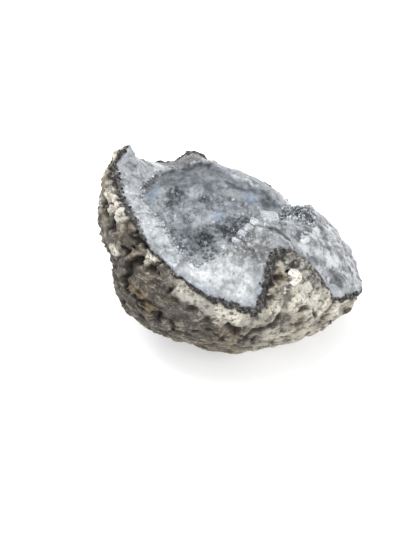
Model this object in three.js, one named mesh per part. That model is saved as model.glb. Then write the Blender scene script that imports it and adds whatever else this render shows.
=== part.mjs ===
// Half of a small chalcedony geode, broken open: one stone, in millimetres, +Z up.
// It stands on the small flat of its rounded underside, and its cavity opens upwards.
// +X runs from the tall wall on the left to the low shoulder on the right; -Y is the front.

import * as THREE from "three";
import { LoftGeometry } from "three/addons/geometries/LoftGeometry.js";
import { ImprovedNoise } from "three/addons/math/ImprovedNoise.js";

// The whole nodule and the hollow in it are two ellipsoids that lean the same way.
const NODULE = { centre: [-0.2, -0.2, 23], halfSizes: [35.5, 29.5, 25] };
const CAVITY = { centre: [-2.7, -0.2, 24.5], halfSizes: [27, 22.5, 18.5] };
const LEAN = THREE.MathUtils.degToRad(14); // the right side is the low one

// The broken rim, once round from the right tip. Azimuth and latitudes are in degrees on the
// leaning ellipsoids: outer is the edge of the rind and inner the lip of the cavity. Round is
// how far the break between them follows the nodule's own curve: 0 flat, 1 full, under 0 hollow.
const RIM = [
  { azimuth: 0, outer: -2, inner: 50, round: 0.85 }, // glassy shoulder
  { azimuth: 14, outer: -2, inner: 45, round: 0.85 },
  { azimuth: 29, outer: 0, inner: 30, round: 0.8 },
  { azimuth: 43, outer: 0, inner: 13.5, round: 0.5 },
  { azimuth: 48, outer: 0, inner: 11.5, round: 0.3 },
  { azimuth: 54, outer: -4, inner: 11, round: 0.2 }, // lowest part of the back wall
  { azimuth: 62, outer: 1.5, inner: 19, round: 0.1 },
  { azimuth: 85, outer: 10.5, inner: 27, round: 0.1 },
  { azimuth: 94, outer: 11, inner: 29, round: 0 },
  { azimuth: 108, outer: 22, inner: 36, round: 0 },
  { azimuth: 114, outer: 29.5, inner: 42, round: 0 }, // back peak
  { azimuth: 118, outer: 29, inner: 41, round: 0 },
  { azimuth: 121, outer: 14, inner: 29, round: 0 }, // notch
  { azimuth: 136, outer: 17, inner: 28, round: 0 },
  { azimuth: 147, outer: 27, inner: 31, round: 0 },
  { azimuth: 159, outer: 38.5, inner: 32, round: 0 }, // left peak
  { azimuth: 165, outer: 32, inner: 31, round: 0 },
  { azimuth: 183, outer: 30, inner: 35, round: -0.1 },
  { azimuth: 210, outer: 30, inner: 38, round: -0.1 },
  { azimuth: 226, outer: 25, inner: 36, round: -0.1 },
  { azimuth: 242, outer: 21, inner: 28.5, round: -0.1 },
  { azimuth: 252, outer: 18, inner: 24, round: -0.1 }, // saddle
  { azimuth: 260, outer: 15, inner: 37, round: -0.1 },
  { azimuth: 270, outer: 12, inner: 48.5, round: 0.1 }, // wide scallop
  { azimuth: 279, outer: 11, inner: 55.5, round: 0.4 },
  { azimuth: 283, outer: 40, inner: 58.5, round: 0.7 }, // wedge of host rock
  { azimuth: 288, outer: 54, inner: 61, round: 0.8 },
  { azimuth: 300, outer: 42, inner: 61, round: 0.85 },
  { azimuth: 309, outer: 22, inner: 60.5, round: 0.85 },
  { azimuth: 324, outer: 10, inner: 59, round: 0.85 },
  { azimuth: 343, outer: 2, inner: 57, round: 0.85 },
];

// Knobs and hollows of the rind: height in mm, outwards, and the reach over which it fades.
const KNOBS = [
  { azimuth: 160, latitude: 36, height: 5.4, reach: 8.5 }, // under the left peak
  { azimuth: 172, latitude: 20, height: 0.8, reach: 12 },
  { azimuth: 194, latitude: -27, height: -5.6, reach: 11.5 },
  { azimuth: 219, latitude: -33, height: 2.2, reach: 8 }, // corner low on the left
  { azimuth: 258, latitude: -34, height: -0.6, reach: 6 },
  { azimuth: 279, latitude: -27, height: 0.8, reach: 6 },
  { azimuth: 300, latitude: -45, height: -2, reach: 14 },
  { azimuth: 343, latitude: 0, height: 0.6, reach: 6 }, // right tip
];

const RIND_LUMPS = [
  { size: 13, height: 1.2 },
  { size: 5.5, height: 0.6 },
];
const BREAK_LUMPS = [{ size: 4, height: 0.5 }];
const CAVITY_LUMPS = [
  { size: 9, height: 1.2 },
  { size: 4, height: 0.7 },
];

// The rind is divided at a belt that runs level, this many degrees below the rim and its wedge.
const BELT = { highestRim: 12, below: 8 };

const COLUMNS = 80;
const CAVITY_RINGS = 13;
const BREAK_RINGS = 6;
const UPPER_RIND_RINGS = 6; // from the rim down to the belt
const LOWER_RIND_RINGS = 13; // from the belt down to the flat
const FLOOR_LATITUDE = -82; // where the cavity's floor closes
const FLOOR_MOUND = { height: 3, reach: 5 }; // in the middle of the floor
const LATITUDE_STEP = 0.2;

const noise = new ImprovedNoise();

// Lumps of several sizes, added up, at a point of the stone.
function lumpHeight(point, lumps) {
  return lumps.reduce(
    (sum, { size, height }) =>
      sum + height * noise.noise(point.x / size, point.y / size, point.z / size + height),
    0,
  );
}

// A point on one of the leaning ellipsoids, moved outwards along its own radius.
function onEllipsoid(shape, azimuth, latitude, outwards = 0) {
  const phi = THREE.MathUtils.degToRad(azimuth);
  const theta = THREE.MathUtils.degToRad(latitude);
  const point = new THREE.Vector3(
    Math.cos(theta) * Math.cos(phi),
    Math.cos(theta) * Math.sin(phi),
    Math.sin(theta),
  );
  const [a, b, c] = shape.halfSizes;
  point.multiply(new THREE.Vector3(a + outwards, b + outwards, c + outwards));
  point.applyAxisAngle(new THREE.Vector3(0, 1, 0), LEAN);
  return point.add(new THREE.Vector3(...shape.centre));
}

// The rim's values at an azimuth, read between the two nearest of its stations.
function rimAt(azimuth) {
  const next = RIM.findIndex((station) => station.azimuth > azimuth);
  const after = next < 0 ? { ...RIM[0], azimuth: 360 } : RIM[next];
  const before = next < 0 ? RIM[RIM.length - 1] : RIM[next - 1];
  const share = (azimuth - before.azimuth) / (after.azimuth - before.azimuth);
  const mix = (key) => THREE.MathUtils.lerp(before[key], after[key], share);
  return { outer: mix("outer"), inner: mix("inner"), round: mix("round") };
}

function rindPoint(azimuth, latitude) {
  const plain = onEllipsoid(NODULE, azimuth, latitude);
  let height = lumpHeight(plain, RIND_LUMPS);
  for (const knob of KNOBS) {
    const distance = plain.distanceTo(onEllipsoid(NODULE, knob.azimuth, knob.latitude));
    height += knob.height * Math.exp(-((distance / knob.reach) ** 2));
  }
  const point = onEllipsoid(NODULE, azimuth, latitude, height);
  point.z = Math.max(point.z, 0); // the flat it stands on
  return point;
}

function beltLatitude(azimuth) {
  return Math.min(rimAt(azimuth).outer, BELT.highestRim) - BELT.below;
}

// The latitude at which the rind, followed downwards, reaches the flat.
function flatLatitude(azimuth) {
  let latitude = 0;
  while (rindPoint(azimuth, latitude).z > 0) latitude -= LATITUDE_STEP;
  return latitude;
}

function cavityPoint(azimuth, latitude) {
  const plain = onEllipsoid(CAVITY, azimuth, latitude);
  const distance = plain.distanceTo(onEllipsoid(CAVITY, 0, -90));
  const mound = FLOOR_MOUND.height * Math.exp(-((distance / FLOOR_MOUND.reach) ** 2));
  return onEllipsoid(CAVITY, azimuth, latitude, lumpHeight(plain, CAVITY_LUMPS) - mound);
}

// A point of the break, a share of the way from the cavity's lip to the rind's edge.
function breakPoint(azimuth, share) {
  const { outer, inner, round } = rimAt(azimuth);
  const lip = cavityPoint(azimuth, inner);
  const edge = rindPoint(azimuth, outer);
  const flat = lip.clone().lerp(edge, share);
  const centre = new THREE.Vector3(...NODULE.centre);
  const reach = THREE.MathUtils.lerp(lip.distanceTo(centre), edge.distanceTo(centre), share);
  const full = flat.clone().sub(centre).setLength(reach).add(centre);
  const point = flat.lerp(full, round);
  const fade = Math.sin(Math.PI * share);
  point.z += fade * lumpHeight(point, BREAK_LUMPS);
  return point;
}

// One ring of the stone, with a point for every column, clockwise so that its faces point out.
function ring(pointAt) {
  const points = Array.from({ length: COLUMNS }, (_, column) =>
    pointAt((360 * column) / COLUMNS),
  );
  return points.reverse();
}

function stoneRings() {
  const rings = [];
  for (let i = 0; i < CAVITY_RINGS; i++) {
    const share = i / CAVITY_RINGS;
    rings.push(
      ring((azimuth) =>
        cavityPoint(
          azimuth,
          THREE.MathUtils.lerp(FLOOR_LATITUDE, rimAt(azimuth).inner, share),
        ),
      ),
    );
  }
  for (let i = 0; i <= BREAK_RINGS; i++) {
    rings.push(ring((azimuth) => breakPoint(azimuth, i / BREAK_RINGS)));
  }
  for (let i = 1; i <= UPPER_RIND_RINGS; i++) {
    rings.push(
      ring((azimuth) => {
        const { outer } = rimAt(azimuth);
        const share = i / UPPER_RIND_RINGS;
        return rindPoint(azimuth, THREE.MathUtils.lerp(outer, beltLatitude(azimuth), share));
      }),
    );
  }
  for (let i = 1; i <= LOWER_RIND_RINGS; i++) {
    rings.push(
      ring((azimuth) => {
        const belt = beltLatitude(azimuth);
        const share = i / LOWER_RIND_RINGS;
        return rindPoint(azimuth, THREE.MathUtils.lerp(belt, flatLatitude(azimuth), share));
      }),
    );
  }
  return rings;
}

const geode = new THREE.Mesh(
  new LoftGeometry(stoneRings(), { closed: true, capStart: true, capEnd: true }),
  new THREE.MeshStandardMaterial({ color: 0xa39c8c, roughness: 0.75, metalness: 0 }),
);
geode.name = "geode";

const group = new THREE.Group();
group.add(geode);

export default group;
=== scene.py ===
"""Half of a small chalcedony geode, broken open, standing on its own small flat."""

import math
import random

import bmesh
import bpy
from mathutils import Matrix, Vector, kdtree, noise


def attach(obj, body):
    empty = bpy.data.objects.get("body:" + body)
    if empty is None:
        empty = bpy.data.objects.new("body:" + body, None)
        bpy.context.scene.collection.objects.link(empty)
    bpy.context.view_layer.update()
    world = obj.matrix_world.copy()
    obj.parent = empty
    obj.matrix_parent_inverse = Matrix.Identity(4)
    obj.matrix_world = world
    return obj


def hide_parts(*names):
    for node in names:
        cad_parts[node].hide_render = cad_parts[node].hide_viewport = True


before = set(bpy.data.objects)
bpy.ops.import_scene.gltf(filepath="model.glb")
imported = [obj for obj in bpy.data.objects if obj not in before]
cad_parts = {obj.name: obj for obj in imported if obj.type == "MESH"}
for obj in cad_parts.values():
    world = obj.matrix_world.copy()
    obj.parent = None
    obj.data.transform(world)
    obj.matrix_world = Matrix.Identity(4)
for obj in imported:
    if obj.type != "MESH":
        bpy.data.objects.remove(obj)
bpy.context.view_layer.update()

# ---- The stone ---------------------------------------------------------------------------
# A nodule broken in half: host rock outside as a rough rind, a dark contact band, and inside
# it a wall of chalcedony whose cavity is lined with fine quartz. It all grew together, so it
# is one closed skin, shaped over the frame's plain solid.

MM = 0.001
NODULE_CENTRE = Vector((-0.2, -0.2, 23.0))
NODULE_HALF = Vector((35.5, 29.5, 25.0))
CAVITY_CENTRE = Vector((-2.7, -0.2, 24.5))
CAVITY_HALF = Vector((27.0, 22.5, 18.5))
MEAN_RADIUS = 30  # of the nodule, in mm
LEAN = math.radians(14)  # about Y, to the low side
UPRIGHT = Matrix.Rotation(-LEAN, 3, "Y")  # undoes the lean
SKIN_GRID = 0.475  # size of the skin's faces, in mm
SHARP_EDGE = 0.6  # radians
NOISE_SEED = 1

noise.seed_set(NOISE_SEED)  # without it noise vectors start at another place in each run

# Azimuth and latitude of the contact between rind and chalcedony, once round.
CONTACT = (
    (0, -2), (29, 1), (48, 1), (54, -3), (62, 2), (85, 11), (94, 12), (108, 23), (114, 30.5),
    (118, 30), (121, 15), (136, 18), (147, 28), (159, 39), (165, 32), (183, 29), (210, 28),
    (226, 23), (242, 19), (252, 16), (260, 13), (270, 10), (279, 9), (280.8, 14), (281.3, 32),
    (282.5, 39), (285, 42), (288, 43), (294, 46), (299, 44), (304, 40.5), (309, 37.5), (312, 33),
    (313.5, 24), (316, 14), (324, 9), (343, 2), (360, -2),
)
# Azimuth and latitude, on the cavity's own ellipsoid, of its lip.
LIP = (
    (0, 50), (14, 45), (29, 30), (43, 14), (50, 18), (58, 90), (138, 90), (146, 30), (165, 31),
    (183, 35), (210, 38), (226, 36), (242, 28), (252, 24), (260, 37), (270, 48.5), (279, 55),
    (288, 60.5), (300, 60.5), (324, 59), (343, 57), (360, 50),
)
# Azimuth and width in mm of the dark band along the contact.
BAND_WIDTH = (
    (0, 0.6), (50, 0.7), (70, 1.0), (125, 1.2), (140, 0.7), (148, 0.4), (158, 0.7), (164, 1.5),
    (180, 2.0), (195, 1.8), (206, 1.2), (225, 0.7), (244, 0.6), (253, 0.9), (262, 1.2),
    (276, 1.5), (281, 2.2), (286, 2.2), (291, 1.0), (298, 0.9), (309, 0.9), (320, 0.9),
    (332, 1.3), (348, 0.8), (360, 0.6),
)
# Azimuth and latitude of the thin dark seam between the clear block and the wedge's tip.
SEAM = ((291, 61), (297, 55), (301.5, 50), (300, 45))
SEAM_SCALE = (0.37, 0.48)  # mm to a degree of azimuth and of latitude, along the seam
FAR_FROM_SEAM = 9.0  # mm


def along(stations, azimuth):
    """The value that a ring of (azimuth, value) stations has at an azimuth."""
    for (start, low), (end, high) in zip(stations, stations[1:]):
        if azimuth <= end:
            return low + (high - low) * (azimuth - start) / (end - start)
    return stations[-1][1]


def polar(point, centre, half):
    """Azimuth and latitude in degrees, and height above the ellipsoid in mm."""
    inner = UPRIGHT @ (point - centre)
    scaled = Vector((inner.x / half.x, inner.y / half.y, inner.z / half.z))
    reach = scaled.length
    azimuth = math.degrees(math.atan2(scaled.y, scaled.x)) % 360
    latitude = math.degrees(math.asin(scaled.z / reach))
    return azimuth, latitude, inner.length * (1 - 1 / reach)


def outward(point):
    """The direction straight out of the nodule at a point."""
    inner = UPRIGHT @ (point - NODULE_CENTRE)
    slope = Vector([inner[axis] / NODULE_HALF[axis] ** 2 for axis in range(3)])
    return UPRIGHT.transposed() @ slope.normalized()


def step(low, high, value):
    """Smooth step from 0 at low to 1 at high; low may be the greater of the two."""
    share = min(max((value - low) / (high - low), 0.0), 1.0)
    return share * share * (3 - 2 * share)


def plain_skin(node, name):
    """The frame's solid, rounded between its sharp edges and gridded evenly."""
    body = bmesh.new()
    body.from_mesh(node.data)
    bmesh.ops.remove_doubles(body, verts=body.verts, dist=0.01 * MM)
    crease = body.edges.layers.float.new("crease_edge")
    for edge in body.edges:
        if edge.calc_face_angle(0) > SHARP_EDGE:
            edge[crease] = 1.0
    rough = bpy.data.meshes.new(name)
    body.to_mesh(rough)
    body.free()
    draft = bpy.data.objects.new(name + "_draft", rough)
    bpy.context.scene.collection.objects.link(draft)
    rounding = draft.modifiers.new("rounding", "SUBSURF")
    rounding.levels = rounding.render_levels = 2
    grid = draft.modifiers.new("grid", "REMESH")
    grid.mode = "VOXEL"
    grid.voxel_size = SKIN_GRID * MM
    evaluated = draft.evaluated_get(bpy.context.evaluated_depsgraph_get())
    skin = bpy.data.meshes.new_from_object(evaluated)
    bpy.data.objects.remove(draft)
    bpy.data.meshes.remove(rough)
    skin.name = name
    return skin


skin = plain_skin(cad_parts["geode"], "geode_stone")
points = [vertex.co / MM for vertex in skin.vertices]
normals = [vertex.normal.copy() for vertex in skin.vertices]
outside = [polar(point, NODULE_CENTRE, NODULE_HALF) for point in points]
inside = [polar(point, CAVITY_CENTRE, CAVITY_HALF) for point in points]


def window(azimuth, start, end, fade=8):
    """1 between two azimuths, which may pass through 0, fading to 0 outside them."""
    middle = start + ((end - start) % 360) / 2
    away = abs((azimuth - middle + 180) % 360 - 180)
    return step(((end - start) % 360) / 2 + fade, ((end - start) % 360) / 2, away)


def is_rind(index):
    azimuth, latitude, height = outside[index]
    point = points[index]
    wander = 1.2 * noise.noise(point / 3.0) + 1.0 * noise.noise(point / 1.2)
    wedge = window(azimuth, 294, 314, 4) * step(16, 22, latitude)
    faces_out = normals[index].dot(outward(point)) > 0.6 - 0.2 * wedge
    outer_side = faces_out and abs(height) < abs(inside[index][2]) + 4 * wedge
    return outer_side and latitude < along(CONTACT, azimuth) + wander


def is_cavity(index):
    azimuth, latitude, height = inside[index]
    at_back = window(azimuth, 58, 134)
    faces_in = normals[index].dot(outward(points[index])) < 0.1 + at_back
    edge = along(LIP, azimuth) + 1.5 * noise.noise(points[index] / 2.5)
    return faces_in and height < 1.5 + 9 * at_back and latitude < edge


rind = [is_rind(index) for index in range(len(points))]
cavity = [not rind[index] and is_cavity(index) for index in range(len(points))]


def distance_from_border(belongs):
    """Distance in mm of each point from the border of a zone, positive inside the zone."""
    border = [
        (points[a] + points[b]) / 2
        for a, b in (edge.vertices for edge in skin.edges)
        if belongs[a] != belongs[b]
    ]
    tree = kdtree.KDTree(len(border))
    for index, point in enumerate(border):
        tree.insert(point, index)
    tree.balance()
    return [
        tree.find(point)[2] * (1 if inner else -1) for point, inner in zip(points, belongs)
    ]


from_contact = distance_from_border(rind)
from_lip = distance_from_border(cavity)

# Patches: azimuth, latitude, reach in mm, and how far they stand proud, in mm. The first two
# lists lie on the nodule's surface, the others on the cavity's.
CREAM_PATCHES = (
    (293, 29, 3.6, 0.5), (163, 33, 2.6, 0.2), (299, 22, 5.5, 0.5), (289, 17, 4.5, 0.2),
    (308, 10, 4.5, 0.1), (182, 23, 3.0, 0.5), (190, 24, 3.2, 0.6), (199, 25, 3.0, 0.6),
    (170, 24, 2.2, 0.3), (229, 20, 2.6, 0.5), (268, 7, 4.0, 0.1), (248, 16, 2.4, 0.2),
    (320, 4, 4.0, 0.1), (212, 10, 2.6, 0.2), (176, 10, 3.2, 0.2), (60, -12, 5.0, 0.2),
    (120, -5, 4.0, 0.2), (20, -20, 5.0, 0.2), (150, -30, 5.0, 0.2),
)
OCHRE_PATCHES = (
    (228, -1, 3.2, 0.2), (236, -8, 2.6, 0.0), (285, 31, 2.2, 0.0), (205, 5, 2.6, 0.0),
    (95, -8, 3.5, 0.0), (30, -30, 4.0, 0.0),
)
BLUE_PATCHES = ((134, -1, 4.4, 0), (86, -24, 3.0, 0), (72, 4, 3.4, 0), (250, -20, 4.0, 0))
PALE_PATCHES = (
    (131, 16, 4.6, 0), (108, 20, 3.8, 0), (104, -3, 3.2, 0), (92, 8, 3.0, 0),
    (80, 0, 3.2, 0), (66, -6, 3.0, 0), (118, 6, 3.0, 0), (100, -31, 2.4, 0),
    (84, 0, 2.2, 0), (122, -12, 2.2, 0), (205, 0, 3.5, 0), (330, 0, 4.0, 0),
    (20, 5, 4.0, 0), (321, 39, 2.8, 0), (334, 25, 3.4, 0), (350, 38, 2.2, 0),
    (330, 34, 2.0, 0), (5, 24, 2.4, 0),
)
SMOKY_PATCHES = (
    (117, 30, 3.6, 0), (111, 35, 3.0, 0), (105, 31, 1.8, 0), (128, 26, 1.8, 0),
    (75, -29, 6.0, 0), (66, -20, 4.0, 0), (70, 36, 1.4, 0), (88, 36, 1.6, 0),
    (92, -44, 4.5, 0), (119, -16, 3.0, 0), (97, -10, 2.2, 0), (117, -6, 4.0, 0),
    (220, -30, 5.0, 0), (300, -35, 6.0, 0), (342, 14, 2.2, 0), (331, 16, 1.8, 0),
    (342, 30, 1.8, 0),
)


def patch_mask(azimuth, latitude, point, patches):
    """How much a point lies in a list of patches, with ragged edges, and their height."""
    mask, proud = 0.0, 0.0
    ragged = 0.55 * noise.noise(point / 1.6) + 0.3 * noise.noise(point / 0.7)
    for patch_azimuth, patch_latitude, reach, height in patches:
        turn = math.cos(math.radians(latitude)) * ((azimuth - patch_azimuth + 180) % 360 - 180)
        away = math.hypot(turn, latitude - patch_latitude) * math.radians(MEAN_RADIUS) / reach
        if away < 2:
            mask = max(mask, step(1.0, 0.5, away + ragged))
            proud = max(proud, height * step(1.1, 0.2, away))
    return mask, proud


def crumbs(point, size):
    """Random plates of about one size: this cell's level, closeness to its edge and middle."""
    distances, cells = noise.voronoi(point / size)
    return noise.noise(cells[0] * 7.3), distances[1] - distances[0], distances[0]


def facets(point, size):
    """Height in mm over a surface broken into small tilted faces."""
    cell = noise.voronoi(point / size)[1][0]
    tilt = noise.noise_vector(cell * 5.1)
    return size * (0.8 * tilt.dot(point / size - cell) + 0.25 * noise.noise(cell * 3.3))


def seam_distance(azimuth, latitude):
    """Distance in mm from the thin seam."""
    spot = Vector((azimuth * SEAM_SCALE[0], latitude * SEAM_SCALE[1]))
    turns = [Vector((turn * SEAM_SCALE[0], rise * SEAM_SCALE[1])) for turn, rise in SEAM]
    nearest = FAR_FROM_SEAM
    for start, end in zip(turns, turns[1:]):
        share = min(max((spot - start).dot(end - start) / (end - start).length_squared, 0), 1)
        nearest = min(nearest, (spot - start.lerp(end, share)).length)
    return nearest


def rind_relief(index):
    """Height in mm on the host rock, depth of pit or of the groove under the ledge from 0 to 1, which
    the rock's colour darkens as painted shade, and share of the smooth ledge.
    """
    point = points[index]
    azimuth, latitude, _ = outside[index]
    flat = UPRIGHT @ point
    layered = Vector((flat.x / 6, flat.y / 6, flat.z / 1.6))
    warped = layered + 0.5 * noise.noise_vector(point / 3)
    ridge = 0.45 - abs(noise.noise(warped)) - abs(noise.noise(warped * 2.3)) / 3
    crag = 0.5 - noise.turbulence(point / 4.5, 2, True)
    lump = noise.fractal(point / 5.0, 1.0, 2.0, 3)
    flank = window(azimuth, 165, 240, 20)
    tall = 1.5 + 2.4 * flank * step(-12, 4, latitude)
    squeezed = Vector((flat.x / 2.2, flat.y / 2.2, flat.z / tall))
    squeezed += 0.6 * noise.noise_vector(point / 2)
    openness = step(-0.2, 0.35, noise.noise(point / 7 + Vector((3, 9, 4))) + 0.25 * flank)
    pit = step(0.16 - 0.08 * flank, 0.42 - 0.1 * flank, noise.noise(squeezed)) * openness
    depth = from_contact[index] + 1.6 * lump
    ledge = window(azimuth, 246, 276, 8) * step(4.4, 3.4, depth)
    under = window(azimuth, 250, 292, 8) * step(1.6, 0.3, abs(depth - 5.0))
    under *= step(-0.1, 0.3, noise.noise(point / 3 + Vector((5, 5, 5))))
    calm = 1 - 0.7 * ledge
    height = (0.5 + 0.8 * flank) * ridge + 0.9 * lump + 0.3 * crag - (1.5 + 0.7 * flank) * pit - 0.3
    return height * calm + 0.6 * ledge - 0.8 * under, max(pit * calm, under), ledge


def break_relief(index):
    """Height in mm on the sugary break of the chalcedony."""
    point = points[index]
    return 0.16 * facets(point, 1.5) + 0.3 * facets(point, 3.4) + 0.8 * noise.noise(point / 7)


def lining_relief(index):
    """Height in mm on the cavity's lining of round lumps under fine crystals."""
    point = points[index]
    big = crumbs(point, 4.2)[2]
    small = crumbs(point + Vector((3, 3, 3)), 2.1)[2]
    lumps = 1.5 * (0.45 - big * big) + 0.7 * (0.4 - small * small)
    return lumps + 0.18 * facets(point, 1.4) + 0.9 * noise.noise(point / 9)


# What the materials read at each vertex. Most are shares from 0 to 1 of a kind of surface: pale
# and dusky are sides of the rind, neck the strip of it beside the seam, frost the white scallop,
# deep the inner part of the cavity and crest the upward-facing break of the back wall. Relief,
# width and seam are in mm. The materials darken low relief and the pits as painted shade, and
# lighten high relief on the shoulder as painted light.
MASKS = (
    "pit", "cream", "ochre", "lining", "relief", "ledge", "pale", "blue", "light", "smoky", "width",
    "shoulder", "seam", "neck", "deep", "frost", "dusky", "crest",
)
masks = {name: [0.0] * len(points) for name in MASKS}
for index, point in enumerate(points):
    azimuth, latitude, _ = outside[index]
    cavity_azimuth, cavity_latitude, _ = inside[index]
    width = along(BAND_WIDTH, azimuth)
    shoulder = window(azimuth, 296, 44) * step(0.3, 2.5, -from_contact[index])
    lining = max(step(-0.9, 0.7, from_lip[index]), shoulder)
    as_rind = step(-0.15, 0.35, from_contact[index])
    height, pit, ledge = rind_relief(index)
    cream, proud = patch_mask(azimuth, latitude, point, CREAM_PATCHES)
    deep = step(1.0, 10.0, min(from_lip[index], -from_contact[index]))
    crest = window(azimuth, 56, 130, 5) * step(0.35, 0.7, normals[index].z)
    crest *= step(0, 8, cavity_latitude)
    deep = max(deep * (1 - crest), 0.6 * window(cavity_azimuth, 14, 54))
    deep *= 1 - 0.55 * step(-24, -40, cavity_latitude)
    on_lining = lining_relief(index) * (0.35 + 0.65 * deep * (1 - shoulder) + 0.5 * shoulder)
    on_break = break_relief(index) * (1 - lining) + on_lining * lining
    height = (height + proud) * as_rind + on_break * (1 - as_rind)
    groove = step(width, 0.2 * width, abs(from_contact[index] + 0.5 * width))
    height += groove * (-0.4 + 0.5 * crumbs(point, 0.95)[0])
    height *= step(0.1, 1.6, point.z)
    chips = window(azimuth, 262, 282, 4) * step(30, 40, latitude) * step(60, 52, latitude)
    masks["pit"][index] = pit * (1 - cream)
    masks["cream"][index] = cream
    masks["ochre"][index] = patch_mask(azimuth, latitude, point, OCHRE_PATCHES)[0]
    masks["lining"][index] = lining
    masks["relief"][index] = height
    masks["ledge"][index] = ledge * as_rind
    masks["pale"][index] = window(azimuth, 290, 350, 14)
    masks["blue"][index] = patch_mask(cavity_azimuth, cavity_latitude, point, BLUE_PATCHES)[0]
    light = patch_mask(cavity_azimuth, cavity_latitude, point, PALE_PATCHES)[0]
    masks["light"][index] = light * (1 - crest)
    masks["crest"][index] = crest
    smoky = patch_mask(cavity_azimuth, cavity_latitude, point, SMOKY_PATCHES)[0]
    edge = 0.4 * step(-4.0, -1.0, from_contact[index]) + 0.4 * window(azimuth, 106, 142, 5)
    rim = 0.9 * max(crest, window(azimuth, 108, 144, 5) * step(-3.0, -1.5, from_contact[index]))
    rim *= step(0.0, 0.35, noise.noise(point / 2.5) + edge)
    masks["smoky"][index] = max(smoky * lining, chips * (1 - lining), rim)
    masks["width"][index] = width
    masks["shoulder"][index] = shoulder
    masks["deep"][index] = deep
    masks["dusky"][index] = window(azimuth, 216, 258, 14) * step(-40, -10, latitude)
    masks["frost"][index] = window(azimuth, 244, 278, 6) * step(38, 28, latitude)
    near_seam = 285 < azimuth < 315
    masks["seam"][index] = seam_distance(azimuth, latitude) if near_seam else FAR_FROM_SEAM
    neck = step(5.6, 4.4, from_contact[index] + 2 * noise.noise(point / 2))
    neck *= window(azimuth, 289, 316, 3) * step(19, 25, latitude)
    masks["neck"][index] = neck
    place = point + normals[index] * height
    place.z = max(place.z, 0.0)
    skin.vertices[index].co = place * MM

# To the right of the wedge the dark band reaches a little further over the rind.
masks["contact"] = [
    far - 0.3 * window(azimuth, 316, 332, 3) for far, (azimuth, _, _) in zip(from_contact, outside)
]
for name, values in masks.items():
    skin.attributes.new(name, "FLOAT", "POINT").data.foreach_set("value", values)
skin.update()


class Value:
    """A shader socket whose Python operators add Math nodes."""

    def __init__(self, finish, socket):
        self.finish = finish
        self.socket = socket

    def maths(self, operation, *operands):
        settings = {"operation": operation}
        return self.finish.node("ShaderNodeMath", settings, dict(enumerate(operands)))

    def vector(self, operation, other, output=0):
        settings = {"operation": operation}
        return self.finish.node("ShaderNodeVectorMath", settings, {0: self, 1: other}, output)

    def __add__(self, other):
        return self.maths("ADD", self, other)

    __radd__ = __add__

    def __sub__(self, other):
        return self.maths("SUBTRACT", self, other)

    def __rsub__(self, other):
        return self.maths("SUBTRACT", other, self)

    def __mul__(self, other):
        return self.maths("MULTIPLY", self, other)

    __rmul__ = __mul__

    def __truediv__(self, other):
        return self.maths("DIVIDE", self, other)

    def step(self, low, high):
        """0 below low, 1 above high and smooth between; low may be the greater."""
        settings = {"interpolation_type": "SMOOTHSTEP"}
        limits = (low, high, 0.0, 1.0) if low < high else (high, low, 1.0, 0.0)
        return self.finish.node(
            "ShaderNodeMapRange", settings, {0: self, **dict(enumerate(limits, start=1))}
        )


class Finish:
    """A material and its nodes."""

    def __init__(self, name):
        self.material = bpy.data.materials.new(name)
        self.material.use_nodes = True
        self.tree = self.material.node_tree
        self.tree.nodes.clear()
        self.place = self.node("ShaderNodeTexCoord", {}, {}, "Object")

    def node(self, kind, settings, sockets, output=0):
        """Adds a node: its settings first, then its sockets' values or links."""
        made = self.tree.nodes.new(kind)
        for key, value in settings.items():
            setattr(made, key, value)
        for key, value in sockets.items():
            if isinstance(value, Value):
                self.tree.links.new(value.socket, made.inputs[key])
            else:
                made.inputs[key].default_value = value
        return Value(self, made.outputs[output]) if made.outputs else None

    def mask(self, name):
        return self.node("ShaderNodeAttribute", {"attribute_name": name}, {}, "Fac")

    def clouds(self, size, detail=3.0, rough=0.6, squash=1.0):
        """Noise of about a size in mm, from 0 to 1; squash makes it wider and less high."""
        scale = 1 / (size * MM)
        place = self.node(
            "ShaderNodeMapping", {}, {
                "Vector": self.place, "Rotation": (0, -LEAN, 0),
                "Scale": (scale / squash, scale / squash, scale * squash),
            }
        )
        sockets = {"Vector": place, "Scale": 1.0, "Detail": detail, "Roughness": rough}
        return self.node("ShaderNodeTexNoise", {}, sockets)

    def facets(self, size):
        """Height in units of size over small faces tilted at random, and a value for each."""
        scale = 1 / (size * MM)
        half, third, stirring = (0.5,) * 3, (0.33,) * 3, (0.9,) * 3
        sockets = {"Vector": self.place, "Scale": scale}
        stir = self.node("ShaderNodeTexNoise", {}, sockets, "Color")
        stirred = stir.vector("SUBTRACT", half).vector("MULTIPLY", stirring)
        scaled = self.place.vector("MULTIPLY", (scale,) * 3).vector("ADD", stirred)
        cells = self.node("ShaderNodeTexVoronoi", {}, {"Vector": scaled, "Scale": 1.0}, "Color")
        middle = Value(self, cells.socket.node.outputs["Position"])
        tilt = cells.vector("SUBTRACT", half)
        height = scaled.vector("SUBTRACT", middle).vector("DOT_PRODUCT", tilt, "Value")
        return height, cells.vector("DOT_PRODUCT", third, "Value")

    def mix(self, amount, start, end):
        sockets = {0: amount, 6: start, 7: end}
        return self.node("ShaderNodeMix", {"data_type": "RGBA"}, sockets, 2)

    def bump(self, height, distance, strength=1.0, below=None):
        sockets = {"Height": height, "Distance": distance * MM, "Strength": strength}
        if below:
            sockets["Normal"] = below
        return self.node("ShaderNodeBump", {}, sockets)

    def surface(self, **sockets):
        """Ends the material in a Principled surface; an underscore stands for a space."""
        named = {key.replace("_", " "): value for key, value in sockets.items()}
        shader = self.node("ShaderNodeBsdfPrincipled", {}, named)
        self.node("ShaderNodeOutputMaterial", {}, {"Surface": shader})
        return self.material


CONTACT_DARK = (0.014, 0.012, 0.010, 1)
CONTACT_GREY = (0.1, 0.095, 0.088, 1)
SHADOW_GREY = (0.07, 0.076, 0.084, 1)  # the darkest chalcedony
HAZE_GREY = (0.5, 0.515, 0.525, 1)  # where the glassy shoulder is clouded
QUARTZ_IOR = 1.54


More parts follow.
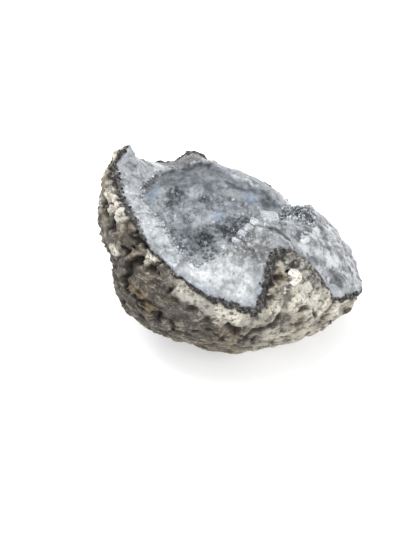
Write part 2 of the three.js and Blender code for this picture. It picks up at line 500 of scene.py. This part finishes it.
def dark_band(finish, colour):
    """Lays the granular dark band of the contact over a colour."""
    wander = finish.clouds(2.6, 2.0, 0.5) * 1.6 - 0.8
    ragged = finish.mask("contact") / finish.mask("width") + wander
    ragged = ragged + finish.clouds(0.8, 3.0, 0.7) * 1.2 - 0.6
    band = ragged.step(-1.25, -0.7) * ragged.step(0.5, 0.1)
    grain = finish.clouds(0.6, 3.0, 0.7)
    rock = finish.mix(grain.step(0.5, 0.62), CONTACT_DARK, CONTACT_GREY)
    rock = finish.mix(grain.step(0.64, 0.74) * 0.8, rock, (0.36, 0.35, 0.32, 1))
    return finish.mix(band, colour, rock)


def rind_finish():
    finish = Finish("host_rock")
    relief = finish.mask("relief")
    blotch = finish.clouds(4.0, 4.0, 0.62)
    fine = finish.clouds(0.9, 4.0, 0.72)
    streak = finish.clouds(1.4, 4.0, 0.68, 1.6)
    stone = finish.mix(blotch.step(0.4, 0.58), (0.055, 0.044, 0.032, 1), (0.23, 0.19, 0.132, 1))
    grey = finish.clouds(8.0, 2.0, 0.5).step(0.48, 0.6)
    stone = finish.mix(grey * 0.6, stone, (0.13, 0.128, 0.122, 1))
    pale = finish.mask("pale") * finish.clouds(2.6, 3.0, 0.6).step(0.38, 0.52)
    stone = finish.mix(pale * 0.85, stone, (0.64, 0.6, 0.5, 1))
    stone = finish.mix(finish.mask("dusky") * 0.45, stone, (0.06, 0.055, 0.048, 1))
    stone = finish.mix(streak.step(0.52, 0.64) * 0.6, stone, (0.4, 0.35, 0.26, 1))
    smooth = finish.mix(blotch.step(0.35, 0.65), (0.4, 0.38, 0.33, 1), (0.6, 0.57, 0.5, 1))
    stone = finish.mix(finish.mask("ledge") * 0.85, stone, smooth)
    stone = finish.mix(fine.step(0.52, 0.68) * 0.6, stone, (0.52, 0.475, 0.385, 1))
    chunk = finish.mix(fine.step(0.38, 0.58), (0.4, 0.36, 0.275, 1), (0.8, 0.77, 0.67, 1))
    stone = finish.mix(finish.mask("cream") * 0.9, stone, chunk)
    neck = finish.mix(streak.step(0.42, 0.6), (0.05, 0.046, 0.04, 1), (0.4, 0.385, 0.35, 1))
    neck = finish.mix(fine.step(0.56, 0.66) * 0.7, neck, (0.62, 0.6, 0.56, 1))
    stone = finish.mix(finish.mask("neck") * 0.9, stone, neck)
    ochre = finish.mask("ochre") * blotch.step(0.35, 0.5)
    stone = finish.mix(ochre * 0.6, stone, (0.26, 0.17, 0.08, 1))
    # Painted shade: where the relief is low, in the crevices, the rock is darkened.
    stone = finish.mix(relief.step(0.1, -0.9) * 0.7, stone, (0.045, 0.037, 0.028, 1))
    stone = finish.mix(streak.step(0.45, 0.34) * 0.8, stone, (0.04, 0.033, 0.025, 1))
    stone = finish.mix(fine.step(0.44, 0.33) * 0.7, stone, (0.035, 0.028, 0.021, 1))
    # Painted shade: the pits and the groove under the ledge are darkened nearly to black.
    stone = finish.mix(finish.mask("pit") * 0.9, stone, (0.02, 0.016, 0.012, 1))
    stone = dark_band(finish, stone)
    bump = finish.bump(finish.clouds(0.6, 4.0, 0.75), 0.6, 1.0)
    bump = finish.bump(streak, 0.9, 0.8, bump)
    return finish.surface(
        Base_Color=stone,
        Roughness=fine * 0.3 + 0.5,
        Specular_IOR_Level=0.4,
        Normal=bump,
    )


def chalcedony_finish():
    finish = Finish("chalcedony")
    contact = finish.mask("contact")
    relief = finish.mask("relief")
    height, shade = finish.facets(0.8)
    coarse, shade_coarse = finish.facets(2.3)
    cloud = finish.clouds(3.2, 3.0, 0.58)
    veil = finish.clouds(1.1, 3.0, 0.65)
    white = finish.mix(cloud.step(0.38, 0.6), (0.17, 0.182, 0.194, 1), (0.35, 0.364, 0.374, 1))
    frost = finish.mix(cloud.step(0.36, 0.6), (0.25, 0.262, 0.27, 1), (0.46, 0.473, 0.478, 1))
    white = finish.mix(finish.mask("frost"), white, frost)
    white = finish.mix(veil.step(0.52, 0.66) * 0.4, white, (0.55, 0.56, 0.565, 1))
    white = finish.mix(shade.step(0.6, 0.85) * 0.35, white, (0.66, 0.67, 0.675, 1))
    white = finish.mix(shade.step(0.4, 0.2) * 0.3, white, (0.12, 0.13, 0.14, 1))
    glow = contact.step(-3.4, -1.6) * finish.mask("frost")
    white = finish.mix(glow * 0.6, white, (0.17, 0.185, 0.205, 1))
    blue = contact.step(-4.0, -1.5) * finish.clouds(4.5, 1.0, 0.5).step(0.42, 0.6)
    white = finish.mix(blue * 0.35, white, (0.3, 0.345, 0.41, 1))
    shallow = finish.mix(cloud.step(0.38, 0.62), (0.17, 0.184, 0.2, 1), (0.34, 0.362, 0.385, 1))
    grey = finish.mix(cloud.step(0.38, 0.62), (0.46, 0.5, 0.54, 1), (0.82, 0.855, 0.89, 1))
    grey = finish.mix(finish.mask("deep"), shallow, grey)
    bright = shade_coarse.step(0.54, 0.75) * finish.mask("deep")
    grey = finish.mix(bright * 0.5, grey, (0.85, 0.87, 0.89, 1))
    grey = finish.mix(shade_coarse.step(0.42, 0.25) * 0.35, grey, (0.2, 0.215, 0.23, 1))
    grey = finish.mix(finish.mask("blue") * 0.8, grey, (0.62, 0.73, 0.88, 1))
    haze = finish.clouds(3.0, 4.0, 0.6).step(0.54, 0.62)
    glassy = finish.mix(cloud.step(0.4, 0.58), SHADOW_GREY, (0.25, 0.26, 0.272, 1))
    glassy = finish.mix(haze * 0.8, glassy, HAZE_GREY)
    glassy = finish.mix(shade.step(0.62, 0.85) * 0.4, glassy, HAZE_GREY)
    glassy = finish.mix(shade.step(0.4, 0.2) * 0.45, glassy, SHADOW_GREY)
    # Painted shade and light on the glassy shoulder: its hollows are darkened and its raised lumps
    # lightened.
    glassy = finish.mix(relief.step(0.2, -0.7) * 0.7, glassy, (0.05, 0.054, 0.06, 1))
    glassy = finish.mix(relief.step(0.5, 1.2) * 0.4, glassy, (0.42, 0.435, 0.45, 1))
    body = finish.mix(finish.mask("lining"), white, grey)
    body = finish.mix(finish.mask("shoulder"), body, glassy)
    patch = finish.mask("light") * veil.step(0.3, 0.45) * finish.mask("lining")
    pale = finish.mix(finish.mask("deep"), (0.5, 0.51, 0.515, 1), (0.88, 0.89, 0.88, 1))
    body = finish.mix(patch * 0.85, body, pale)
    # Painted shade: where the relief is low, in the hollows, the chalcedony is darkened.
    body = finish.mix(relief.step(0.1, -0.9) * 0.3, body, (0.09, 0.095, 0.1, 1))
    body = finish.mix(finish.mask("crest") * 0.6, body, (0.1, 0.106, 0.114, 1))
    smoky = finish.mask("smoky") * veil.step(0.36, 0.56)
    body = finish.mix(smoky * 0.8, body, (0.068, 0.066, 0.062, 1))
    body = dark_band(finish, body)
    seam = finish.mask("seam") + veil * 0.9 - 0.45
    seam = seam.step(0.95, 0.45) * veil.step(0.3, 0.42)
    body = finish.mix(seam * 0.9, body, CONTACT_DARK)
    bump = finish.bump(height, 0.9, 0.6)
    bump = finish.bump(coarse, 1.6, 0.5, bump)
    bump = finish.bump(finish.clouds(0.4, 3.0, 0.7), 0.12, 0.6, bump)
    return finish.surface(
        Base_Color=body,
        Roughness=shade * 0.35 + 0.12,
        Specular_IOR_Level=0.6,
        IOR=QUARTZ_IOR,
        Subsurface_Weight=0.3,
        Subsurface_Radius=(1.0, 1.05, 1.15),
        Subsurface_Scale=1.2 * MM,
        Normal=bump,
    )


skin.materials.append(rind_finish())
skin.materials.append(chalcedony_finish())
RIND_SLOT, CHALCEDONY_SLOT = 0, 1
for face in skin.polygons:
    on_rind = sum(rind[index] for index in face.vertices) > 1
    face.use_smooth = True
    face.material_index = RIND_SLOT if on_rind else CHALCEDONY_SLOT

stone = bpy.data.objects.new("geode_stone", skin)
bpy.context.scene.collection.objects.link(stone)
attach(stone, "root")
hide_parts("geode")

# ---- The quartz druse --------------------------------------------------------------------
# Small clear quartz crystals that grew from the wall into the hollow: six-sided, with short
# prisms and low points, standing a little askew, and thickest along the broken lip.

DRUSE_SEED = 11
LINING_SPACING = 1.5  # mm between crystals
LIP_SPACING = 0.85
BATCH = 40  # solids in one mesh while a piece is put together

surface = [vertex.co.copy() for vertex in skin.vertices]
facing = [vertex.normal.copy() for vertex in skin.vertices]


def spread(candidates, spacing, seed):
    """Vertices about a spacing in mm apart, one for each cell of a grid."""
    order = random.Random(seed)
    shuffled = list(candidates)
    order.shuffle(shuffled)
    taken = {}
    for index in shuffled:
        taken.setdefault(tuple(round(part / MM / spacing) for part in surface[index]), index)
    return list(taken.values())


def seat(index, lean, turn, order):
    """A place on the skin whose Z axis leans at random from the surface's own direction."""
    tilt = Vector([order.gauss(0, lean) for _ in range(3)])
    upright = (facing[index] + tilt).normalized().to_track_quat("Z", "Y").to_matrix().to_4x4()
    return Matrix.Translation(surface[index]) @ upright @ Matrix.Rotation(turn, 4, "Z")


def add_crystal(body, tint, place, radius, length, shade):
    """A six-sided prism with a low point, standing a little sunk at its place."""
    shaft = {"segments": 6, "cap_ends": True, "cap_tris": False}
    sunk = Matrix.Translation((0, 0, 0.2 * length))
    point = Matrix.Translation((0, 0, 0.7 * length + 0.45 * radius))
    made = bmesh.ops.create_cone(
        body, radius1=radius, radius2=0.92 * radius, depth=length, matrix=place @ sunk, **shaft
    )["verts"]
    made += bmesh.ops.create_cone(
        body, radius1=0.92 * radius, radius2=0.1 * radius, depth=0.9 * radius,
        matrix=place @ point, **shaft
    )["verts"]
    for vertex in made:
        vertex[tint] = shade


def joined(name, batches):
    """One mesh of many small ones, which are removed."""
    body = bmesh.new()
    for batch in batches:
        body.from_mesh(batch)
        bpy.data.meshes.remove(batch)
    mesh = bpy.data.meshes.new(name)
    body.to_mesh(mesh)
    body.free()
    return mesh


def in_batches(name, jobs, add):
    """One mesh to which add gives a solid for each job, a few at a time because that is quick."""
    batches = []
    for start in range(0, len(jobs), BATCH):
        body = bmesh.new()
        tint = body.verts.layers.float.new("tint")
        for job in jobs[start:start + BATCH]:
            add(body, tint, *job)
        batch = bpy.data.meshes.new("batch")
        body.to_mesh(batch)
        body.free()
        batches.append(batch)
    return joined(name, batches)


def druse_jobs():
    """Place, radius, length and shade of every crystal; the back wall's upper part has none."""
    order = random.Random(DRUSE_SEED)
    jobs = []
    lining = [
        index for index, far in enumerate(from_lip)
        if from_contact[index] < -4.5
        and (far > 3.5 or far > 0.6 and not 50 < inside[index][0] < 150)
        and (inside[index][1] < -4 or not 50 < inside[index][0] < 136)
        and masks["light"][index] + masks["blue"][index] < 0.5
        and noise.noise(points[index] / 5) + 0.5 * noise.noise(points[index] / 2) < 0.05
    ]
    lip = [
        index for index, far in enumerate(from_lip)
        if -0.5 < far <= 0.6 and not 50 < inside[index][0] < 140
    ]
    for index in spread(lining, LINING_SPACING, DRUSE_SEED):
        depth = masks["deep"][index]
        radius = order.uniform(0.25, 0.5 + 0.25 * depth) * MM
        place = seat(index, 0.35, order.uniform(0, math.pi), order)
        patch = masks["light"][index] + masks["blue"][index] / 2 - masks["smoky"][index]
        shade = 0.55 * depth + 0.15 * order.random() + 0.4 * patch
        jobs.append((place, radius, radius * order.uniform(0.7, 1.3), shade))
    for index in spread(lip, LIP_SPACING, DRUSE_SEED + 1):
        radius = order.uniform(0.18, 0.36) * MM
        place = seat(index, 0.4, order.uniform(0, math.pi), order)
        jobs.append((place, radius, radius * order.uniform(0.8, 1.6), 0.5 * order.random()))
    return jobs


def druse_finish():
    finish = Finish("druse_quartz")
    tint = finish.mask("tint")
    cloud = finish.clouds(3.2, 3.0, 0.58)
    glass = finish.mix(tint.step(0.0, 0.9), (0.13, 0.144, 0.16, 1), (0.78, 0.81, 0.85, 1))
    glass = finish.mix(cloud.step(0.6, 0.4) * 0.4, glass, (0.2, 0.215, 0.235, 1))
    return finish.surface(
        Base_Color=glass,
        Roughness=finish.clouds(0.8, 2.0, 0.5) * 0.25 + 0.05,
        Specular_IOR_Level=0.7,
        IOR=QUARTZ_IOR,
    )


druse_mesh = in_batches("quartz_druse", druse_jobs(), add_crystal)
druse_mesh.materials.append(druse_finish())
druse = bpy.data.objects.new("quartz_druse", druse_mesh)
bpy.context.scene.collection.objects.link(druse)
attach(druse, "root")

# ---- The clear quartz on the lip -----------------------------------------------------------
# One glassy block of quartz, broken square, stands on the lip above the scallop, with smaller
# clear grains in a row beside it, and one on the far side of the tip of the wedge.

CLEAR_SEED = 5
CLEAR_TIP = 0.2  # radians that each grain leans
# Azimuth and latitude on the cavity, half-sizes in mm along, across and up, and turn in degrees.
CLEAR_GRAINS = (
    (304, 59.5, 2.3, 1.6, 2.0, 5), (290, 60, 1.6, 0.9, 0.7, -12), (281, 56, 1.2, 0.9, 0.8, -25),
    (274, 52.5, 1.0, 0.6, 0.45, -32), (268, 49, 1.0, 0.6, 0.4, -38),
    (262, 43.5, 0.9, 0.5, 0.35, -45), (314, 58, 1.0, 0.8, 0.6, 20),
)


def direction(azimuth, latitude):
    """The unit vector at an azimuth and latitude in degrees."""
    level = math.cos(math.radians(latitude))
    turned = math.radians(azimuth)
    return Vector((level * math.cos(turned), level * math.sin(turned), math.sin(math.radians(latitude))))


def finder(places, belongs):
    """A function from an azimuth and latitude to the nearest vertex of one zone of the skin."""
    tree = kdtree.KDTree(len(places))
    for index, (azimuth, latitude, _) in enumerate(places):
        if belongs[index]:
            tree.insert(direction(azimuth, latitude), index)
    tree.balance()
    return lambda azimuth, latitude: tree.find(direction(azimuth, latitude))[1]


lip_place = finder(inside, [not on_rind for on_rind in rind])


def cut_clear_grains():
    """Each grain is an uneven block with bevelled edges."""
    order = random.Random(CLEAR_SEED)
    body = bmesh.new()
    for azimuth, latitude, long, wide, high, turn in CLEAR_GRAINS:
        middle = surface[lip_place(azimuth, latitude)] + Vector((0, 0, 0.55 * high * MM))
        size = Matrix.Diagonal((2 * long * MM, 2 * wide * MM, 2 * high * MM, 1))
        skew = Matrix.Rotation(math.radians(turn), 4, "Z") @ Matrix.Rotation(CLEAR_TIP, 4, "Y")
        block = bmesh.ops.create_cube(body, size=1, matrix=Matrix.Translation(middle) @ skew @ size)
        for vertex in block["verts"]:
            vertex.co += Vector([order.uniform(-0.22, 0.22) * MM for _ in range(3)])
        edges = {edge for vertex in block["verts"] for edge in vertex.link_edges}
        bmesh.ops.bevel(
            body, geom=list(edges), offset=0.28 * high * MM, segments=1, profile=0.5,
            affect="EDGES", material=-1,
        )
    mesh = bpy.data.meshes.new("lip_quartz")
    body.to_mesh(mesh)
    body.free()
    return mesh


def clear_finish():
    finish = Finish("clear_quartz")
    height, shade = finish.facets(0.9)
    bump = finish.bump(height, 0.9, 0.5)
    glass = finish.mix(shade.step(0.3, 0.7), (0.8, 0.83, 0.85, 1), (0.95, 0.97, 0.98, 1))
    return finish.surface(
        Base_Color=glass,
        Roughness=shade * 0.2 + 0.04,
        IOR=QUARTZ_IOR,
        Transmission_Weight=0.75,
        Normal=bump,
    )


clear_mesh = cut_clear_grains()
clear_mesh.materials.append(clear_finish())
clear_quartz = bpy.data.objects.new("lip_quartz", clear_mesh)
bpy.context.scene.collection.objects.link(clear_quartz)
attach(clear_quartz, "root")

# ---- The grains in the contact and the rind ------------------------------------------------
# Dark iron-stained grains fill the contact band, and pale lumps of older rock sit in the rind
# beside it. Both are rounded, a little flattened, and half sunk.

GRAIN_SEED = 23
GRAIN_SPACING = 1.6  # mm, along the contact band
STRAY_LUMP_SPACING = 9.0
LUMP_GROWTH = 1.15  # on the radii listed below
LUMP_FLATNESS = 0.3
GRAIN_FLATNESS = 0.7
# Azimuth and latitude on the nodule, radius in mm and paleness of the lumps that stand out.
LUMPS = (
    (229, 21, 1.4, 0.9), (187, 25, 1.2, 0.9), (199, 27, 1.2, 0.75), (192, 21, 0.8, 0.7),
    (293, 32, 1.6, 1.0), (299, 25, 1.7, 0.75), (296, 20, 1.0, 0.85), (303, 18, 1.6, 0.8),
    (290, 24, 1.0, 0.8), (306, 13, 1.1, 0.75), (247, 17, 0.8, 0.6), (212, 14, 0.9, 0.5),
)


def add_grain(body, tint, place, radius, flatness, shade, order, fineness):
    """An uneven grain with blunt corners."""
    size = Matrix.Diagonal((radius, radius * order.uniform(0.6, 1.0), radius * flatness, 1))
    made = bmesh.ops.create_icosphere(
        body, subdivisions=fineness, radius=1.0, matrix=place @ size
    )["verts"]
    for vertex in made:
        vertex.co += Vector([order.gauss(0, 0.14) * radius for _ in range(3)])
        vertex[tint] = shade


def set_grains(name, places, order, material, fineness):
    """A piece of many grains: each place gives a vertex, a radius, a flatness and a shade."""
    jobs = []
    for index, radius, flatness, shade in places:
        place = seat(index, 0.2, order.uniform(0, math.pi), order)
        jobs.append((place, radius * MM, flatness, shade, order, fineness))
    mesh = in_batches(name, jobs, add_grain)
    mesh.materials.append(material)
    piece = bpy.data.objects.new(name, mesh)
    bpy.context.scene.collection.objects.link(piece)
    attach(piece, "root")


def contact_grain_finish():
    finish = Finish("contact_grains")
    tint = finish.mask("tint")
    stain = finish.clouds(0.6, 2.0, 0.6)
    dark = finish.mix(tint.step(0.5, 0.95), (0.012, 0.010, 0.009, 1), (0.07, 0.065, 0.058, 1))
    dark = finish.mix(stain.step(0.58, 0.7) * 0.5, dark, (0.13, 0.122, 0.11, 1))
    bump = finish.bump(finish.clouds(0.35, 3.0, 0.7), 0.15, 0.7)
    return finish.surface(
        Base_Color=dark,
        Roughness=tint * 0.3 + 0.4,
        Specular_IOR_Level=0.3,
        Normal=bump,
    )


def lump_finish():
    finish = Finish("pale_lumps")
    tint = finish.mask("tint")
    pale = finish.mix(tint.step(0.4, 1.0), (0.2, 0.178, 0.138, 1), (0.7, 0.68, 0.62, 1))
    stain = finish.clouds(0.9, 4.0, 0.7)
    pale = finish.mix(stain.step(0.52, 0.62) * 0.7, pale, (0.36, 0.3, 0.2, 1))
    pale = finish.mix(stain.step(0.46, 0.36) * 0.8, pale, (0.1, 0.09, 0.074, 1))
    bump = finish.bump(finish.clouds(0.5, 4.0, 0.7), 0.35, 0.9)
    return finish.surface(Base_Color=pale, Roughness=stain * 0.3 + 0.45, Normal=bump)


def in_wide_band(index):
    """Whether a vertex lies in the contact band, where that is wide, away from the back."""
    width = along(BAND_WIDTH, outside[index][0])
    at_back = 50 < outside[index][0] < 150
    return width > 1.1 and -width < from_contact[index] < 0.1 and not at_back


grain_order = random.Random(GRAIN_SEED)
band = [index for index in range(len(points)) if in_wide_band(index)]
band_places = [
    (index, grain_order.uniform(0.2, 0.55), GRAIN_FLATNESS, grain_order.random())
    for index in spread(band, GRAIN_SPACING, GRAIN_SEED)
]
set_grains("contact_grains", band_places, grain_order, contact_grain_finish(), 1)

rind_place = finder(outside, rind)
lump_places = [
    (rind_place(azimuth, latitude), LUMP_GROWTH * radius, LUMP_FLATNESS, paleness)
    for azimuth, latitude, radius, paleness in LUMPS
]
near_band = [index for index, far in enumerate(from_contact) if 0.8 < far < 4.5]
lump_places += [
    (index, grain_order.uniform(0.3, 0.7), LUMP_FLATNESS, 0.6 * grain_order.random())
    for index in spread(near_band, STRAY_LUMP_SPACING, GRAIN_SEED + 1)
]
set_grains("rind_lumps", lump_places, grain_order, lump_finish(), 2)

# ---- The floor, the light and the camera -------------------------------------------------
# A plain pale floor, one wide soft lamp overhead with a weaker one at the front, and a camera
# that looks down on the stone at the angle at which its whole rim and cavity show.

FLOOR_HALF = 1.2
floor_shape = bmesh.new()
bmesh.ops.create_grid(floor_shape, x_segments=2, y_segments=2, size=FLOOR_HALF)
floor_mesh = bpy.data.meshes.new("floor")
floor_shape.to_mesh(floor_mesh)
floor_shape.free()
floor_finish = Finish("pale_floor")
floor_mesh.materials.append(
    floor_finish.surface(
        Base_Color=(0.7, 0.7, 0.7, 1), Roughness=0.9, Specular_IOR_Level=0.1,
        Emission_Color=(1, 1, 1, 1), Emission_Strength=0.42,
    )
)
floor = bpy.data.objects.new("floor", floor_mesh)
bpy.context.scene.collection.objects.link(floor)

world = bpy.data.worlds.new("studio")
world.use_nodes = True
world.node_tree.nodes["Background"].inputs["Color"].default_value = (0.97, 0.98, 1.0, 1)
world.node_tree.nodes["Background"].inputs["Strength"].default_value = 0.9
bpy.context.scene.world = world
bpy.context.scene.view_settings.view_transform = "Standard"

SUBJECT = Vector((-5.8, 0.0, 12.5)) * MM


def soft_lamp(name, place, size, watts):
    """A square lamp at a place in metres, turned to the stone."""
    light = bpy.data.lights.new(name, "AREA")
    light.size = size
    light.energy = watts
    lamp = bpy.data.objects.new(name, light)
    lamp.location = place
    lamp.rotation_euler = (SUBJECT - Vector(place)).to_track_quat("-Z", "Y").to_euler()
    bpy.context.scene.collection.objects.link(lamp)


soft_lamp("overhead", (-0.12, 0.1, 0.6), 0.5, 4.5)
soft_lamp("front", (0.35, -0.45, 0.45), 0.3, 1.8)

CAMERA_ELEVATION = math.radians(41)
CAMERA_DISTANCE = 0.28  # metres
SENSOR = 36.0  # mm
FOCAL_LENGTH = 68.49

lens = bpy.data.cameras.new("camera")
lens.sensor_width = SENSOR
lens.lens = FOCAL_LENGTH
lens.clip_start = 0.01
camera = bpy.data.objects.new("camera", lens)
forward = Vector((0, math.cos(CAMERA_ELEVATION), -math.sin(CAMERA_ELEVATION)))
camera.location = SUBJECT - forward * CAMERA_DISTANCE
camera.rotation_euler = forward.to_track_quat("-Z", "Y").to_euler()
bpy.context.scene.collection.objects.link(camera)
bpy.context.scene.camera = camera
